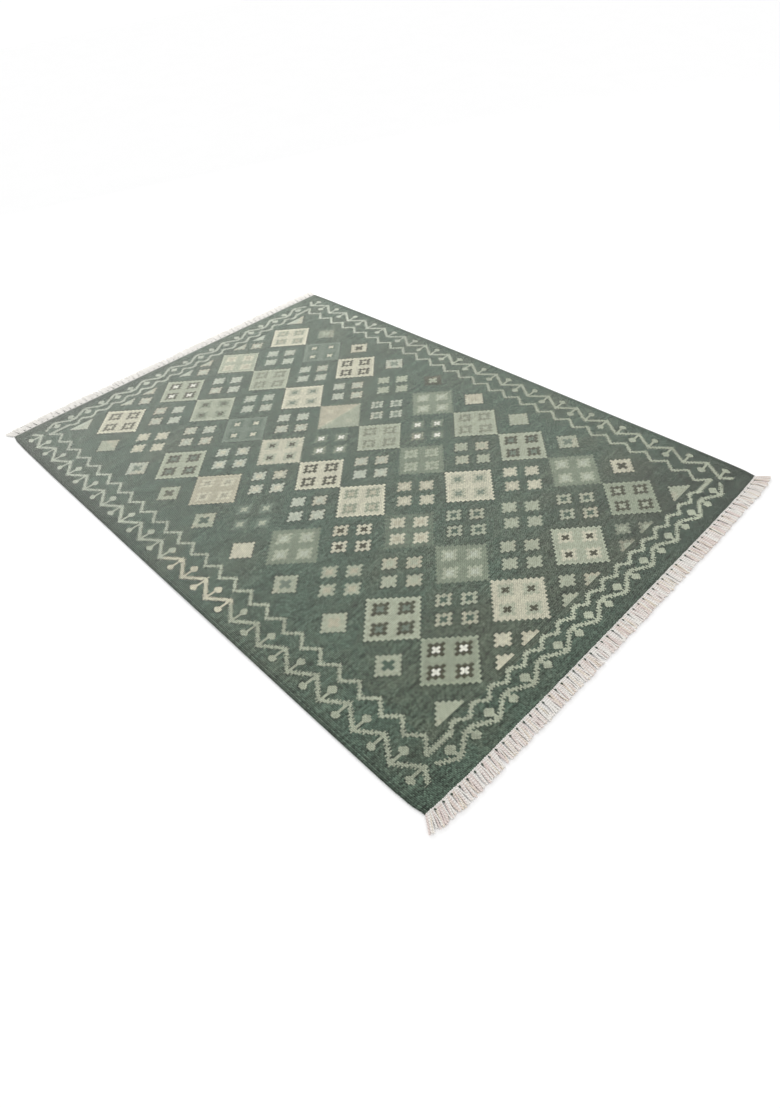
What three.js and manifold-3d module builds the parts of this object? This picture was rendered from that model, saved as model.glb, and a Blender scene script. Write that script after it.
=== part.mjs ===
// Flat-woven wool rug: one flat cloth with corded long sides, and a knotted warp fringe at each end.
// Millimetres. X runs along the rug, Y across it, and Z up from the floor that it lies on.
import * as THREE from 'three';
import { mergeVertices } from 'three/addons/utils/BufferGeometryUtils.js';
import Module from 'manifold-3d';

// The cloth
const CLOTH_LENGTH = 2400;
const CLOTH_WIDTH = 1700;
const CLOTH_THICKNESS = 5;
const EDGE_ROUNDING = 1.2;
const OUTLINE_INSET_STEP = 1;

// The selvedge, the thick outer warps that cord each long side
const SELVEDGE_DIAMETER = 6;
const SELVEDGE_LIFT = 0.2;
const SELVEDGE_SIDES = 8;
const SELVEDGE_SETBACK = 4;
const SELVEDGE_STEPS = 48;

// The fringe, in locks that leave a narrow knotted header in pairs
const SEAM_GAP = 0.3;
const HEADER_WIDTH = 7;
const HEADER_LIFT = 0.3;
const HEADER_THICKNESS = 4.2;
const FRINGE_REACH = 50;
const REACH_SPREAD = 5;
const BUNDLES_PER_END = 62;
const PAIR_SPREAD = 0.4;
const PAIR_SPLAY = 3;
const LOCK_ROOT_DEPTH = 3;
const LOCK_ROOT_WIDTH = 7;
const LOCK_TIP_WIDTH = 5;
const LOCK_THICKNESS = 3.6;
const LOCK_STATIONS = [0, 0.5, 1];
const LOCK_BEND = 0.4;
const SCATTER_RATE = 12.9898;
const SCATTER_GAIN = 43758.5453;

// Vertices nearer than this are one
const MERGE_DISTANCE = 1e-4;

// How far each edge is drawn in from the full rectangle. along runs from 0 to 1, towards +X on a
// long side and towards +Y on an end.
const LEFT_SIDE = {
  sign: -1,
  edge: [
    { along: 0, inset: 13 },
    { along: 0.02, inset: 6 },
    { along: 0.06, inset: 3 },
    { along: 0.18, inset: 1 },
    { along: 0.45, inset: 0 },
    { along: 0.8, inset: 0.5 },
    { along: 0.95, inset: 2 },
    { along: 0.98, inset: 5 },
    { along: 1, inset: 12 },
  ],
};
const RIGHT_SIDE = {
  sign: 1,
  edge: [
    { along: 0, inset: 14 },
    { along: 0.06, inset: 10 },
    { along: 0.22, inset: 4 },
    { along: 0.5, inset: 0 },
    { along: 0.8, inset: 2.5 },
    { along: 0.95, inset: 5 },
    { along: 0.98, inset: 7 },
    { along: 1, inset: 13 },
  ],
};
const FAR_END = {
  sign: -1,
  edge: [
    { along: 0, inset: 3 },
    { along: 0.1, inset: 0.5 },
    { along: 0.5, inset: 0 },
    { along: 0.9, inset: 0.5 },
    { along: 1, inset: 3 },
  ],
  // Degrees that the locks lean towards +Y
  lie: [
    { along: 0, lean: -29 },
    { along: 0.03, lean: -12 },
    { along: 0.12, lean: -5 },
    { along: 0.5, lean: 3 },
    { along: 0.85, lean: 5 },
    { along: 1, lean: 8 },
  ],
};
const NEAR_END = {
  sign: 1,
  edge: [
    { along: 0, inset: 11 },
    { along: 0.03, inset: 7 },
    { along: 0.1, inset: 3 },
    { along: 0.3, inset: 0.5 },
    { along: 0.5, inset: 0 },
    { along: 0.75, inset: 0.5 },
    { along: 0.92, inset: 3 },
    { along: 0.98, inset: 7 },
    { along: 1, inset: 10 },
  ],
  lie: [
    { along: 0, lean: -30 },
    { along: 0.02, lean: -22 },
    { along: 0.06, lean: -11 },
    { along: 0.3, lean: -9 },
    { along: 0.55, lean: -5 },
    { along: 0.8, lean: -2 },
    { along: 0.96, lean: 7 },
    { along: 1, lean: 30.8 },
  ],
};

const wasm = await Module();
wasm.setup();

// A table's column at a place between its rows
function valueAt(rows, column, along) {
  const place = Math.min(along, 1);
  const next = Math.max(1, rows.findIndex((row) => row.along >= place));
  const from = rows[next - 1];
  const to = rows[next];
  const share = THREE.MathUtils.smoothstep(place, from.along, to.along);
  return THREE.MathUtils.lerp(from[column], to[column], share);
}

// A steady scatter between -1 and 1, so that no two locks lie alike
function scatter(index) {
  const wave = Math.sin(index * SCATTER_RATE) * SCATTER_GAIN;
  return 2 * (wave - Math.floor(wave)) - 1;
}

function cornerX(end, side) {
  const along = side.sign < 0 ? 0 : 1;
  return end.sign * (CLOTH_LENGTH / 2 - valueAt(end.edge, 'inset', along));
}

function cornerY(side, end) {
  const along = end.sign < 0 ? 0 : 1;
  return side.sign * (CLOTH_WIDTH / 2 - valueAt(side.edge, 'inset', along));
}

function sidePoint(side, along) {
  const x = THREE.MathUtils.lerp(cornerX(FAR_END, side), cornerX(NEAR_END, side), along);
  const y = side.sign * (CLOTH_WIDTH / 2 - valueAt(side.edge, 'inset', along));
  return new THREE.Vector2(x, y);
}

function endPoint(end, along, outwards = 0) {
  const x = end.sign * (CLOTH_LENGTH / 2 - valueAt(end.edge, 'inset', along) + outwards);
  const y = THREE.MathUtils.lerp(cornerY(LEFT_SIDE, end), cornerY(RIGHT_SIDE, end), along);
  return new THREE.Vector2(x, y);
}

// Even places from 0 to 1
function places(count) {
  return Array.from({ length: count + 1 }, (_, index) => index / count);
}

// The places along an edge that its shape needs: close where the inset changes fast
function edgePlaces(rows) {
  const stretches = rows.slice(1).map((row, index) => {
    const from = rows[index];
    const steps = Math.max(1, Math.ceil(Math.abs(row.inset - from.inset) / OUTLINE_INSET_STEP));
    return places(steps).slice(1).map((share) => THREE.MathUtils.lerp(from.along, row.along, share));
  });
  return [0, ...stretches.flat()];
}

function toSolid(geometry) {
  const bare = geometry.clone();
  bare.deleteAttribute('normal');
  bare.deleteAttribute('uv');
  const merged = mergeVertices(bare, MERGE_DISTANCE);
  return new wasm.Manifold(
    new wasm.Mesh({
      numProp: 3,
      vertProperties: new Float32Array(merged.attributes.position.array),
      triVerts: new Uint32Array(merged.index.array),
    }),
  );
}

function toGeometry(solid) {
  const mesh = solid.getMesh();
  const geometry = new THREE.BufferGeometry();
  geometry.setAttribute('position', new THREE.BufferAttribute(mesh.vertProperties, 3));
  geometry.setIndex(new THREE.BufferAttribute(mesh.triVerts, 1));
  geometry.computeVertexNormals();
  return geometry;
}

function joined(geometries) {
  const solids = geometries.map(toSolid);
  return toGeometry(solids.reduce((whole, solid) => whole.add(solid)));
}

// The cloth's outline, one turn from the far left corner towards +X
function clothOutline() {
  const left = edgePlaces(LEFT_SIDE.edge).map((along) => sidePoint(LEFT_SIDE, along));
  const near = edgePlaces(NEAR_END.edge).map((along) => endPoint(NEAR_END, along));
  const right = edgePlaces(RIGHT_SIDE.edge).map((along) => sidePoint(RIGHT_SIDE, along));
  const far = edgePlaces(FAR_END.edge).map((along) => endPoint(FAR_END, along));
  const turn = [left, near, right.reverse(), far.reverse()];
  return turn.flatMap((edge) => edge.slice(0, -1));
}

function clothSheet() {
  const sheet = new THREE.ExtrudeGeometry(new THREE.Shape(clothOutline()), {
    depth: CLOTH_THICKNESS - 2 * EDGE_ROUNDING,
    bevelThickness: EDGE_ROUNDING,
    bevelSize: EDGE_ROUNDING,
    bevelOffset: -EDGE_ROUNDING,
    bevelSegments: 1,
  });
  return sheet.translate(0, 0, EDGE_ROUNDING);
}

// A round cord just inside one long side, level with the outline and ending short of the corners
function selvedgeCord(side) {
  const radius = SELVEDGE_DIAMETER / 2;
  const setback = SELVEDGE_SETBACK / CLOTH_LENGTH;
  const route = places(SELVEDGE_STEPS).map((along) => {
    const edge = sidePoint(side, THREE.MathUtils.lerp(setback, 1 - setback, along));
    return new THREE.Vector3(edge.x, edge.y - side.sign * radius, radius + SELVEDGE_LIFT);
  });
  const section = new THREE.Shape(
    Array.from({ length: SELVEDGE_SIDES }, (_, index) => {
      const angle = ((index + 0.5) / SELVEDGE_SIDES) * 2 * Math.PI;
      return new THREE.Vector2(radius * Math.cos(angle), radius * Math.sin(angle));
    }),
  );
  return new THREE.ExtrudeGeometry(section, {
    steps: SELVEDGE_STEPS,
    extrudePath: new THREE.CatmullRomCurve3(route),
  });
}

// The knotted strip that holds the fringe, a seam's width off the cloth's end
function fringeHeader(end) {
  const inner = edgePlaces(end.edge).map((along) => endPoint(end, along, SEAM_GAP));
  const outer = edgePlaces(end.edge).map((along) => endPoint(end, along, SEAM_GAP + HEADER_WIDTH));
  const strip = new THREE.ExtrudeGeometry(new THREE.Shape([...inner, ...outer.reverse()]), {
    depth: HEADER_THICKNESS,
    bevelEnabled: false,
  });
  return strip.translate(0, 0, HEADER_LIFT);
}

// One lock of yarn, flat on the floor, from inside the header to its loose tip
function fringeLock(end, bundle, half) {
  const along = (bundle + 0.5 + (half * PAIR_SPREAD) / 2) / BUNDLES_PER_END;
  const number = 2 * bundle + half;
  const root = endPoint(end, along, SEAM_GAP + HEADER_WIDTH - LOCK_ROOT_DEPTH);
  const reach = FRINGE_REACH - HEADER_WIDTH - SEAM_GAP + LOCK_ROOT_DEPTH;
  const length = reach - (REACH_SPREAD * (1 + scatter(number))) / 2;
  const lean = valueAt(end.lie, 'lean', along) + half * PAIR_SPLAY;
  const drift = length * Math.tan(THREE.MathUtils.degToRad(lean));
  const centres = LOCK_STATIONS.map((station) => {
    const sideways = drift * station * (1 - LOCK_BEND + LOCK_BEND * station);
    return new THREE.Vector2(root.x + end.sign * length * station, root.y + sideways);
  });
  const halfWidths = LOCK_STATIONS.map(
    (station) => THREE.MathUtils.lerp(LOCK_ROOT_WIDTH, LOCK_TIP_WIDTH, station) / 2,
  );
  const left = centres.map((centre, index) => new THREE.Vector2(centre.x, centre.y - halfWidths[index]));
  const right = centres.map((centre, index) => new THREE.Vector2(centre.x, centre.y + halfWidths[index]));
  return new THREE.ExtrudeGeometry(new THREE.Shape([...left, ...right.reverse()]), {
    depth: LOCK_THICKNESS,
    bevelEnabled: false,
  });
}

function fringe(end) {
  const locks = [];
  for (let bundle = 0; bundle < BUNDLES_PER_END; bundle += 1) {
    locks.push(fringeLock(end, bundle, -1));
    locks.push(fringeLock(end, bundle, 1));
  }
  return joined([fringeHeader(end), ...locks]);
}

function part(name, geometry, material) {
  const mesh = new THREE.Mesh(geometry, material);
  mesh.name = name;
  return mesh;
}

const wool = new THREE.MeshStandardMaterial({ color: 0x52655b, roughness: 0.95, metalness: 0 });
const cotton = new THREE.MeshStandardMaterial({ color: 0xe3dbd1, roughness: 0.95, metalness: 0 });
const rug = new THREE.Group();
rug.add(part('rug', joined([clothSheet(), selvedgeCord(LEFT_SIDE), selvedgeCord(RIGHT_SIDE)]), wool));
rug.add(part('fringe_near', fringe(NEAR_END), cotton));
rug.add(part('fringe_far', fringe(FAR_END), cotton.clone()));

export default rug;
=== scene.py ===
"""Flat-woven wool rug: stepped diamonds and stars in a vine border, with a knotted fringe at each end.

Laid out as an add-on: settings, an operator for each group of pieces, and a panel that lists them.
Settings are in metres. Tables and the pattern on the loom are in millimetres from the rug's middle,
x towards the near end and y towards the right side.
"""
import math

import bpy
import numpy as np
from bpy.props import FloatProperty, FloatVectorProperty, IntProperty, PointerProperty
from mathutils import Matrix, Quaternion, Vector


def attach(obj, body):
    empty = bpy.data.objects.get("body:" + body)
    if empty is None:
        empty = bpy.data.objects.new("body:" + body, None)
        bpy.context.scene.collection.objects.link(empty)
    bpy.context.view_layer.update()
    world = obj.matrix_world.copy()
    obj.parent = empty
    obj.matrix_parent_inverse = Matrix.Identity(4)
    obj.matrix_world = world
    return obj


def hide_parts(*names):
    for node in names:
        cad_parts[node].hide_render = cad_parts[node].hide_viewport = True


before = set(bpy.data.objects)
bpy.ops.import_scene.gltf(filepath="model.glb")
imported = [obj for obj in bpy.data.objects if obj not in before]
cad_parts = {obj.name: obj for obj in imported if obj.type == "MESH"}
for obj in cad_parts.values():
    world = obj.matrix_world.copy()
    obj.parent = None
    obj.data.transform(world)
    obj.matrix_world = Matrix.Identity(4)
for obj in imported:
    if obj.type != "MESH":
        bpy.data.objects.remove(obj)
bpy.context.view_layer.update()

bl_info = {
    "name": "Dhurrie Rug",
    "version": (1, 0, 0),
    "blender": (4, 5, 0),
    "location": "View3D > Sidebar > Rug",
    "description": "Weaves a flat wool rug, lays its fringes and sets a plain studio round it",
    "category": "Object",
}

MM = 0.001

# Sizes of the figures: they hold the places that are fewer teeth than this from their middle
DIAMOND_TEETH = 9.5
SMALL_TEETH = 4.5
STAR_TEETH = 2.5
HEART_TEETH = 1.5

# How far each edge is drawn in from the full rectangle: share of the edge, millimetres.
# Long sides run towards the near end, ends run towards the right side.
LEFT_EDGE = (
    (0, 13), (0.02, 6), (0.06, 3), (0.18, 1), (0.45, 0), (0.8, 0.5), (0.95, 2), (0.98, 5), (1, 12),
)
RIGHT_EDGE = (
    (0, 14), (0.06, 10), (0.22, 4), (0.5, 0), (0.8, 2.5), (0.95, 5), (0.98, 7), (1, 13),
)
FAR_EDGE = ((0, 3), (0.1, 0.5), (0.5, 0), (0.9, 0.5), (1, 3))
NEAR_EDGE = (
    (0, 11), (0.03, 7), (0.1, 3), (0.3, 0.5), (0.5, 0), (0.75, 0.5), (0.92, 3), (0.98, 7), (1, 10),
)

# How the fringe leans towards the right side: share of the end, degrees
FAR_LEAN = ((0, -29), (0.03, -12), (0.12, -5), (0.5, 3), (0.85, 5), (1, 8))
NEAR_LEAN = (
    (0, -30), (0.02, -22), (0.06, -11), (0.3, -9), (0.55, -5), (0.8, -2), (0.96, 7), (1, 30.8),
)

# How far the figures stray from an even grid: share of the length, millimetres.
# The first two are along the rug, left and right of the middle, and the third is across it.
LEFT_STRAY = (
    (0, 0), (0.11, 1), (0.21, 4), (0.31, 7), (0.4, 6), (0.5, 3), (0.6, -1), (0.7, 8), (0.79, 12),
    (0.89, 3), (1, 0),
)
RIGHT_STRAY = (
    (0, 0), (0.11, 5), (0.21, 6), (0.31, 0), (0.4, 6), (0.5, 10), (0.6, 4), (0.7, 5), (0.79, 7),
    (0.89, 8), (1, 0),
)
ACROSS_STRAY = ((0, -12), (0.12, -10), (0.3, -6), (0.5, 0), (0.7, 1), (0.9, 3), (1, 8))

# Colourways of the big diamonds: ground, ring and heart, each a dye and its strength
DIAMOND_DYES = {
    "cream rings": (("cream", 0.94), ("olive", 0.95), ("cream", 0.9)),
    "cream soft rings": (("cream", 1), ("olive", 0.75), ("cream", 0.9)),
    "cream faint": (("cream", 0.93), ("sage", 0.75), ("beige", 0.9)),
    "cream soft": (("cream", 0.97), ("sage", 0.5), ("slate", 0.9)),
    "cream crosses": (("cream", 0.85), ("pale_sage", 0.75), ("olive", 0.85)),
    "beige rings": (("beige", 0.9), ("cream", 1), ("olive", 0.45)),
    "mist rings": (("pale_sage", 0.95), ("cream", 0.9), ("beige", 1)),
    "sage crosses": (("pale_sage", 0.95), ("cream", 1), ("olive", 1)),
    "sage rings": (("pale_sage", 1), ("olive", 0.85), ("slate", 1)),
    "sage points": (("light_sage", 1), ("olive", 0.88), ("white", 1)),
    "pale points": (("pale_sage", 1), ("olive", 0.8), ("white", 0.95)),
    "light points": (("light_sage", 1), ("olive", 0.9), ("pale_sage", 1)),
    "pale soft": (("pale_sage", 1), ("sage", 0.75), ("olive", 0.75)),
    "pale rings": (("pale_sage", 1), ("olive", 0.5), ("pale_sage", 0.9)),
    "slate points": (("slate", 0.95), ("ground", 0.7), ("cream", 0.95)),
    "faded sage": (("sage", 0.78), ("pale_sage", 0.92), ("mist", 0.9)),
    "faded rings": (("sage", 0.7), ("pale_sage", 0.9), ("sage", 0.6)),
    "faded beige": (("beige", 0.85), ("beige", 1), ("cream", 0.7)),
    "faded pale": (("pale_sage", 0.8), ("pale_sage", 1), ("cream", 0.4)),
    "cream stars": (("sage", 0.12), ("cream", 0.85), ("cream", 1)),
    "soft stars": (("sage", 0.45), ("cream", 0.85), ("beige", 0.9)),
    "beige stars": (("ground", 0), ("pale_sage", 0.92), ("beige", 0.95)),
    "pale stars": (("ground", 0), ("pale_sage", 0.95), ("pale_sage", 1)),
    "dark points": (("ground", 0), ("slate", 0.85), ("pale_sage", 0.95)),
}

# The diamonds from the far end to the near end, a row for each line from the left side to the right.
# Two names together are the far and the near half of one diamond.
DIAMOND_ROWS = (
    (
        "cream soft rings", "cream stars", "sage rings", "beige rings", "dark points",
        "faded sage", "beige stars", "sage rings", "sage points",
    ),
    (
        "pale points", "pale soft", "slate points", "cream crosses", "cream rings",
        "cream faint", "soft stars", "faded sage", "cream crosses",
    ),
    (
        "mist rings", "pale rings", "cream soft", ("faded beige", "faded pale"), "pale rings",
        "faded rings", "cream soft", "pale stars", "sage crosses",
    ),
    (
        "cream faint", "slate points", "cream rings", "pale stars", "faded sage",
        "pale rings", "sage rings", "faded sage", "light points",
    ),
)

# Colourways of the stars and the small diamonds: body and heart
STAR_DYES = {
    "mist": (("mist", 0.97), ("mist", 1)),
    "mist soft": (("mist", 0.8), ("mist", 0.95)),
    "mist cream": (("mist", 1), ("cream", 0.9)),
    "mist ring": (("mist", 1), ("slate", 0.85)),
    "pale": (("pale_sage", 0.95), ("pale_sage", 1)),
    "pale blush": (("pale_sage", 1), ("beige", 1)),
    "soft": (("pale_sage", 0.55), ("pale_sage", 0.9)),
    "cream": (("cream", 0.95), ("cream", 1)),
    "soft cream": (("cream", 0.8), ("cream", 1)),
    "cream blush": (("cream", 0.9), ("beige", 1)),
    "cream ring": (("cream", 1), ("olive", 0.95)),
    "olive ring": (("pale_sage", 1), ("olive", 0.75)),
    "sage ring": (("pale_sage", 0.95), ("slate", 1)),
    "slate ring": (("pale_sage", 0.97), ("ground", 1)),
    "dark ring": (("olive", 0.8), ("pale_sage", 1)),
    "points": (("light_sage", 0.55), ("white", 1)),
}

# The outer rows are the small diamonds, and the three between them the groups of four stars
STAR_ROWS = (
    (
        "mist", "pale", "mist ring", "olive ring", "slate ring",
        "cream", "sage ring", "pale blush", "slate ring", "pale",
    ),
    (
        "mist", "mist", "mist", "mist cream", "mist cream",
        "mist", "cream ring", "pale", "slate ring", "cream",
    ),
    (
        "mist", "mist", "mist soft", "mist", "points",
        "mist", "soft cream", "slate ring", "pale", "pale",
    ),
    (
        "mist soft", "mist soft", "mist soft", "mist", "mist ring",
        "points", "pale", "soft cream", "slate ring", "soft",
    ),
    (
        "mist", "soft", "cream ring", "mist ring", "dark ring",
        "cream blush", "pale", "sage ring", "cream ring", "pale",
    ),
)


def shade(red, green, blue):
    """The linear colour of an 8-bit screen shade."""
    levels = (level / 255 for level in (red, green, blue))
    return tuple(v / 12.92 if v <= 0.04045 else ((v + 0.055) / 1.055) ** 2.4 for v in levels)


def place_setting(name, description, default):
    """A property for a place, in metres."""
    return FloatVectorProperty(name=name, description=description, default=default, unit="LENGTH")


def length_setting(name, description, default):
    """A property for a length in metres."""
    return FloatProperty(
        name=name, description=description, default=default, min=0, unit="LENGTH", precision=5
    )


def pair_setting(name, description, default):
    """A property for two lengths in metres, along the rug and across it if nothing else is said."""
    return FloatVectorProperty(
        name=name, description=description, default=default, size=2, unit="LENGTH", precision=5
    )


def colour_setting(name, description, default):
    """A property for a colour."""
    return FloatVectorProperty(
        name=name, description=description, default=default, subtype="COLOR", size=3, min=0, max=1
    )


class ClothSettings(bpy.types.PropertyGroup):
    """Sizes of the woven cloth"""

    length: length_setting("Length", "Length of the cloth without its fringes", 2.4)
    width: length_setting("Width", "Width of the cloth between its corded sides", 1.7)
    thickness: length_setting("Thickness", "Thickness over the ribs", 0.005)
    rib_pitch: length_setting("Rib Pitch", "Distance between two warps", 0.155 / 32)
    rib_depth: length_setting("Rib Depth", "Depth of the hollow between two ribs", 0.0009)
    pick_pitch: length_setting("Pick Pitch", "Distance between two wefts", 0.0019)
    cord: length_setting("Cord", "Thickness of the cord along each long side", 0.006)
    ripple: length_setting("Ripple", "How far the cloth lifts where it doesn't lie quite flat", 0.0016)


class PatternSettings(bpy.types.PropertyGroup):
    """Sizes of the woven figures"""

    repeat: pair_setting("Repeat", "Distance between two big diamonds", (0.233, 0.310))
    diamond_step: pair_setting("Diamond Step", "One tooth of a big diamond", (0.0120, 0.0125))
    small_step: pair_setting("Small Step", "One tooth of a small diamond", (0.0112, 0.0118))
    star_step: pair_setting("Star Step", "One tooth of a star", (0.0120, 0.0144))
    star_place: pair_setting("Star Place", "Stars from the middle of their group", (0.0543, 0.0573))
    small_row: length_setting("Small Row", "Small diamonds from the rug's middle line", 0.595)
    field_end: length_setting("Field End", "Where the field is cut off, from the middle", 1.054)
    border_tooth: length_setting("Border Tooth", "One tooth of a border line along the rug", 0.0044)


class DyeSettings(bpy.types.PropertyGroup):
    """Colours of the wool, and how its lots fall"""

    ground: colour_setting("Ground", "Grey-green of the ground", shade(76, 93, 80))
    earth: colour_setting("Earth", "Browner lots of the ground wool", shade(83, 92, 78))
    slate: colour_setting("Slate", "Slate of the quiet diamonds", shade(108, 121, 107))
    olive: colour_setting("Olive", "Dark olive of the rings", shade(68, 68, 53))
    sage: colour_setting("Sage", "Sage of the faded diamonds", shade(126, 136, 117))
    light_sage: colour_setting("Light Sage", "Sage between the two others", shade(142, 150, 130))
    pale_sage: colour_setting("Pale Sage", "Pale sage of most figures", shade(158, 164, 144))
    # Mist is partly the far figures' own greyer yarn, partly painted light: a paler copy of pale sage for the
    # far end
    mist: colour_setting("Mist", "Pale sage with more grey, of the far figures", shade(172, 178, 162))
    beige: colour_setting("Beige", "Warm beige", shade(171, 167, 146))
    cream: colour_setting("Cream", "Cream of the lightest diamonds", shade(189, 187, 166))
    white: colour_setting("White", "Undyed wool of the small crosses", shade(216, 216, 204))
    lot_seed: IntProperty(name="Lot Seed", description="Changes the lots of the border yarn", default=11)


class FringeSettings(bpy.types.PropertyGroup):
    """Sizes and colours of the fringes"""

    bundles: IntProperty(name="Bundles", description="Bundles on each end", default=62, min=1)
    yarns: IntProperty(name="Yarns", description="Yarns in a bundle", default=9, min=1)
    reach: length_setting("Reach", "Length of the yarns from the cloth", 0.051)
    reach_spread: length_setting("Reach Spread", "How much longer or shorter a yarn is", 0.0025)
    yarn: length_setting("Yarn", "Thickness of a yarn", 0.0050)
    curl: length_setting("Curl", "How far a yarn strays sideways", 0.009)
    root_height: length_setting("Root Height", "Height of the yarns at the cloth", 0.0026)
    stitch_pitch: length_setting("Stitch Pitch", "Length of a stitch of the header", 0.0066)
    header_place: pair_setting("Header Place", "Header out from the cloth's end, and up", (0.0026, 0.0041))
    weft_end: length_setting("Weft End", "Thickness of a weft end", 0.0034)
    weft_place: pair_setting("Weft Place", "Weft ends out from the cloth's end, and up", (0.0085, 0.0050))
    gather: FloatProperty(
        name="Gather", description="Width of a bundle at its root, as a share", default=0.74, subtype="FACTOR"
    )
    seed: IntProperty(name="Seed", description="Changes how the yarns stray", default=7)
    weft_end_seed: IntProperty(name="Weft End Seed", description="Changes how weft ends turn", default=3)
    white: colour_setting("White", "Bleached cotton of the header and most yarns", shade(240, 237, 231))
    cream: colour_setting("Cream", "Unbleached cotton", shade(232, 222, 204))
    blush: colour_setting("Blush", "Pinkish cotton", shade(228, 214, 208))


class StageSettings(bpy.types.PropertyGroup):
    """The floor and the studio light"""

    floor: colour_setting("Floor", "Colour of the floor", (0.96, 0.96, 0.96))
    floor_size: length_setting("Floor Size", "Side of the floor", 24)
    sky: FloatProperty(name="Sky", description="Light from all round", default=1.04, min=0)
    key: FloatProperty(name="Key", description="Power of the soft light", default=60, subtype="POWER")
    key_size: length_setting("Key Size", "Side of the soft light", 2.6)
    key_place: place_setting("Key Place", "Middle of the soft light", (-2.9, 1.1, 1.6))
    eye: place_setting("Eye", "Place of the camera", (1.7311, -1.3257, 1.6037))
    gaze: FloatVectorProperty(
        name="Gaze", description="Where the camera looks", default=(-0.53997, 0.46148, -0.7039)
    )
    roll: FloatProperty(
        name="Roll", description="Turn of the camera about its gaze", default=-0.1018, subtype="ANGLE"
    )
    lens: FloatProperty(name="Lens", description="Focal length on a 36 mm tall image", default=22.53)


class RugSettings(bpy.types.PropertyGroup):
    """All settings of the rug"""

    cloth: PointerProperty(type=ClothSettings)
    pattern: PointerProperty(type=PatternSettings)
    dyes: PointerProperty(type=DyeSettings)
    fringe: PointerProperty(type=FringeSettings)
    stage: PointerProperty(type=StageSettings)


def two_ways(operation):
    """Methods for a Math node of a wire and another value: the wire first, and the wire last."""

    def first(self, other):
        return self.maths(operation, self, other)

    def last(self, other):
        return self.maths(operation, other, self)

    return first, last


class Wire:
    """An output of a node. Operators on it add Math nodes, and node() adds any other node."""

    def __init__(self, tree, socket=None):
        self.tree = tree
        self.socket = socket

    def node(self, kind, inputs=None, output=0, **settings):
        """Adds a node: its settings first, then the values or wires of its inputs, by name or number."""
        made = self.tree.nodes.new(kind)
        for name, value in settings.items():
            setattr(made, name, value)
        for name, value in (inputs or {}).items():
            for one in value if isinstance(value, list) else [value]:
                if isinstance(one, Wire):
                    self.tree.links.new(one.socket, made.inputs[name])
                else:
                    made.inputs[name].default_value = one
        return Wire(self.tree, made.outputs[output]) if made.outputs else made

    def output(self, name):
        """Another output of the same node."""
        return Wire(self.tree, self.socket.node.outputs[name])

    def maths(self, operation, *values):
        return self.node("ShaderNodeMath", dict(enumerate(values)), operation=operation)

    __add__, __radd__ = two_ways("ADD")
    __sub__, __rsub__ = two_ways("SUBTRACT")
    __mul__, __rmul__ = two_ways("MULTIPLY")
    __truediv__, __rtruediv__ = two_ways("DIVIDE")
    __lt__, __gt__ = two_ways("LESS_THAN")

    def __abs__(self):
        return self.maths("ABSOLUTE", self)

    def __floor__(self):
        return self.maths("FLOOR", self)

    def __mod__(self, other):
        return self.maths("FLOORED_MODULO", self, other)

    def smaller(self, other):
        return self.maths("MINIMUM", self, other)

    def larger(self, other):
        return self.maths("MAXIMUM", self, other)

    def kept(self):
        """The value, kept between 0 and 1."""
        return self.smaller(1).larger(0)

    def sine(self):
        return self.maths("SINE", self)

    def zigzag(self, half):
        """The distance to the nearest multiple of twice half."""
        return self.maths("PINGPONG", self, half)

    def mixed(self, share, other, blend="MIX"):
        """This colour with a share of another laid over it."""
        inputs = {0: share, 6: self, 7: other}
        return self.node("ShaderNodeMix", inputs, 2, data_type="RGBA", blend_type=blend)

    def vector(self, x, y=0, z=0):
        return self.node("ShaderNodeCombineXYZ", {"X": x, "Y": y, "Z": z})

    def parts(self):
        """The three numbers of a vector."""
        split = self.node("ShaderNodeSeparateXYZ", {"Vector": self})
        return split, split.output("Y"), split.output("Z")

    def attribute(self, name, output="Fac"):
        """A piece's own attribute in a material."""
        return self.node("ShaderNodeAttribute", None, output, attribute_name=name)

    def colour(self, levels):
        """One colour all over."""
        made = self.node("ShaderNodeRGB")
        made.socket.default_value = (*levels, 1)
        return made

    def chance(self, x, y):
        """A random number between 0 and 1 for each pair of whole numbers."""
        return self.node("ShaderNodeTexWhiteNoise", {"Vector": self.vector(x, y)}, noise_dimensions="2D")

    def noise(self, x, y, detail, roughness):
        """Soft noise over a plane."""
        inputs = {"Vector": self.vector(x, y), "Scale": 1, "Detail": detail, "Roughness": roughness}
        return self.node("ShaderNodeTexNoise", inputs, noise_dimensions="2D")


def eased(table, place):
    """The value of a table of places and values at each place, eased between its rows."""
    places, values = np.array(table, dtype=float).T
    row = np.clip(np.searchsorted(places, place) - 1, 0, len(places) - 2)
    share = np.clip((place - places[row]) / (places[row + 1] - places[row]), 0, 1)
    share = share * share * (3 - 2 * share)
    return values[row] + (values[row + 1] - values[row]) * share


def laid_out(cloth, loom_x, loom_y):
    """Where a place on the loom lies on the floor, with the edges drawn in."""
    along = loom_x / cloth.length + 0.5
    across = loom_y / cloth.width + 0.5
    far = -cloth.length / 2 + MM * eased(FAR_EDGE, across)
    near = cloth.length / 2 - MM * eased(NEAR_EDGE, across)
    left = -cloth.width / 2 + MM * eased(LEFT_EDGE, along)
    right = cloth.width / 2 - MM * eased(RIGHT_EDGE, along)
    inside = np.clip(4 * across * (1 - across), 0, 1)
    stray_x = eased(LEFT_STRAY, along) * (1 - across) + eased(RIGHT_STRAY, along) * across
    x = far + (near - far) * along + MM * inside * stray_x
    y = left + (right - left) * across + MM * inside * eased(ACROSS_STRAY, along)
    return x, y


def new_material(name):
    """An empty material, and the wire that its nodes are added to."""
    material = bpy.data.materials.new(name)
    material.use_nodes = True
    material.node_tree.nodes.clear()
    return material, Wire(material.node_tree)


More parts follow.
